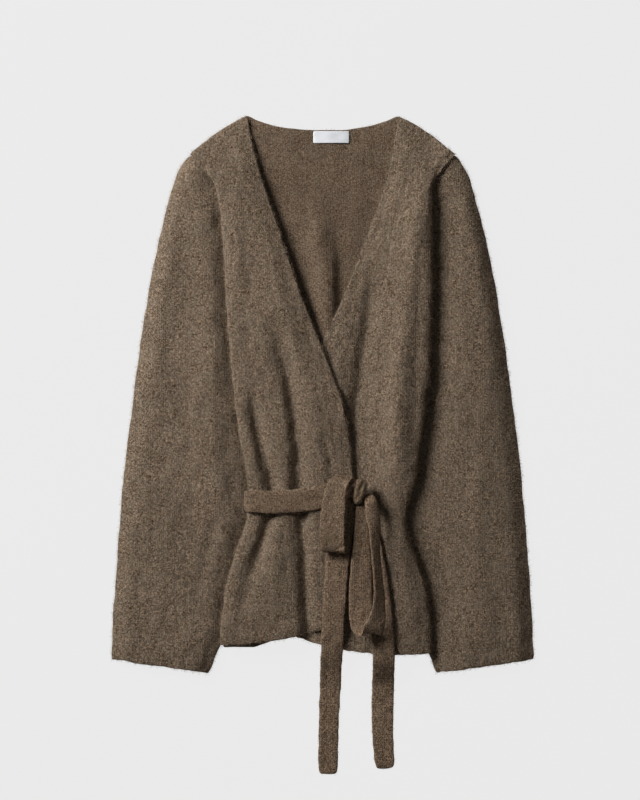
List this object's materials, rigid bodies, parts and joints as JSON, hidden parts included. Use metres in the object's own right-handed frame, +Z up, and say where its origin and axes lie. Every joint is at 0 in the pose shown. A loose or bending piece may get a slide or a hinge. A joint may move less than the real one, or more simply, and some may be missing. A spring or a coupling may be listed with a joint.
{
  "type": "wrap cardigan",
  "caption": "Thick brushed-knit wrap cardigan laid flat on its back, with wide sleeves, a deep V neck and a tie belt in a bow at the waist.",
  "frame": {"origin": "on the floor, in the middle of the box round the laid-out garment and its hanging tie ends", "axes": "+Z up from the floor, +Y towards the neck, +X towards the wearer's left side, which is the viewer's right"},
  "size_m": [0.509, 0.7931, 0.0462],
  "materials": {
    "brushed_knit": "matte brushed wool knit, taupe melange",
    "woven_label": "smooth white woven label"
  },
  "bodies": {
    "root": {"back": "brushed_knit", "sleeve_left": "brushed_knit", "sleeve_right": "brushed_knit", "front_left": "brushed_knit", "front_right": "brushed_knit", "tie_band": "brushed_knit", "tie_loop_left": "brushed_knit", "tie_loop_right": "brushed_knit", "tie_end_left": "brushed_knit", "tie_end_right": "brushed_knit", "tie_knot": "brushed_knit", "neck_label": "woven_label"}
  },
  "joints": []
}
